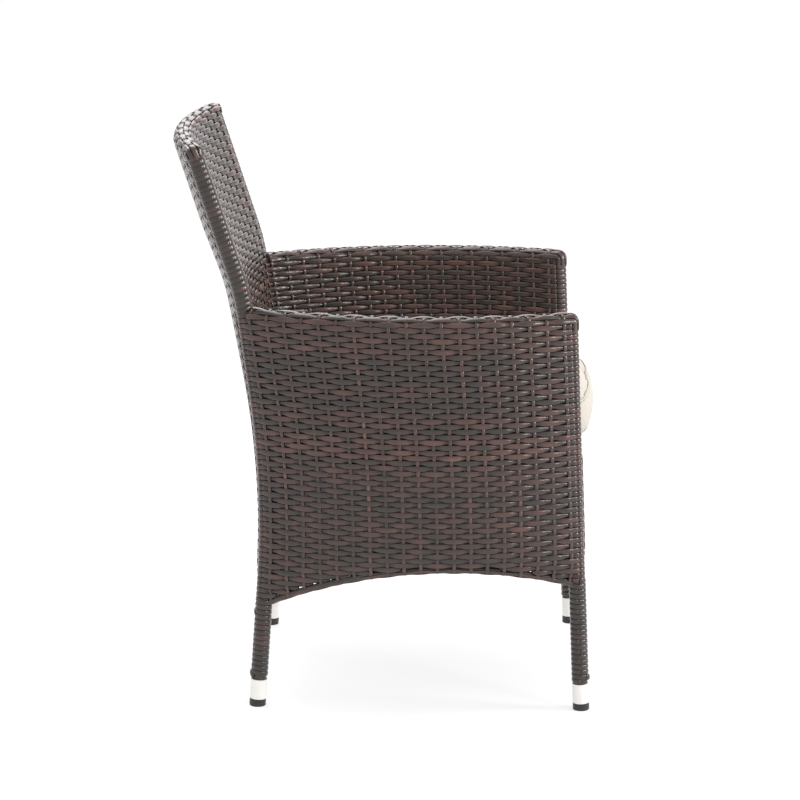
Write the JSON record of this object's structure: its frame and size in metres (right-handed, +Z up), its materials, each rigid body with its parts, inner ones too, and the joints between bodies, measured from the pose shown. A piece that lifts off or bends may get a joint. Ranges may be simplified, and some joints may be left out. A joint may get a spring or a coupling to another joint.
{
  "type": "wicker armchair",
  "caption": "Garden armchair with a bent tube frame, dark woven resin skin on back, arms, sides and aprons, metal leg ferrules and a loose seat cushion.",
  "frame": {"origin": "middle of the bounding box, on the ground under the chair", "axes": "+Z is up, -Y is the front where the sitter's knees are, +X is the sitter's left"},
  "size_m": [0.6008, 0.6502, 0.87],
  "materials": {
    "frame_tube": "mill finish tube, hidden under the weave",
    "woven_strand": "flat resin strands, dark brown mixed with red brown, satin gloss",
    "ferrule": "satin silver sleeve",
    "foot_cap": "matt black plastic",
    "cushion_fabric": "cream woven polyester",
    "foam": "soft open foam"
  },
  "bodies": {
    "chair": {"left_front_leg_tube": "frame_tube", "right_front_leg_tube": "frame_tube", "left_back_post_tube": "frame_tube", "right_back_post_tube": "frame_tube", "left_arm_tube": "frame_tube", "right_arm_tube": "frame_tube", "back_top_rail": "frame_tube", "left_arm_elbow": "frame_tube", "right_arm_elbow": "frame_tube", "left_back_elbow": "frame_tube", "right_back_elbow": "frame_tube", "seat_front_rail": "frame_tube", "seat_rear_rail": "frame_tube", "left_seat_rail": "frame_tube", "right_seat_rail": "frame_tube", "seat_cross_bars": "frame_tube", "left_arch_rod": "frame_tube", "right_arch_rod": "frame_tube", "front_arch_rod": "frame_tube", "rear_arch_rod": "frame_tube", "left_side_weave_outer": "woven_strand", "right_side_weave_outer": "woven_strand", "left_side_weave_inner": "woven_strand", "right_side_weave_inner": "woven_strand", "back_weave_front": "woven_strand", "back_weave_rear": "woven_strand", "rear_apron_weave": "woven_strand", "front_apron_weave": "woven_strand", "front_edge_wrap": "woven_strand", "seat_deck_weave": "woven_strand", "left_arm_wrap": "woven_strand", "right_arm_wrap": "woven_strand", "left_arm_corner_wrap": "woven_strand", "right_arm_corner_wrap": "woven_strand", "back_top_wrap": "woven_strand", "left_back_corner_wrap": "woven_strand", "right_back_corner_wrap": "woven_strand", "left_back_post_wrap": "woven_strand", "right_back_post_wrap": "woven_strand", "left_rear_leg_wrap": "woven_strand", "right_rear_leg_wrap": "woven_strand", "left_front_corner_wrap": "woven_strand", "right_front_corner_wrap": "woven_strand", "left_front_leg_wrap": "woven_strand", "right_front_leg_wrap": "woven_strand", "strand_end_collars": "woven_strand", "left_front_ferrule": "ferrule", "right_front_ferrule": "ferrule", "left_rear_ferrule": "ferrule", "right_rear_ferrule": "ferrule", "left_front_foot_cap": "foot_cap", "right_front_foot_cap": "foot_cap", "left_rear_foot_cap": "foot_cap", "right_rear_foot_cap": "foot_cap"},
    "cushion": {"cushion_top_panel": "cushion_fabric", "cushion_bottom_panel": "cushion_fabric", "cushion_border": "cushion_fabric", "cushion_foam": "foam"}
  },
  "joints": [
    {"name": "cushion_lift", "type": "slide", "parent": "chair", "child": "cushion", "axis": [0, 0, 1], "range_m": [0, 0.25]}
  ]
}
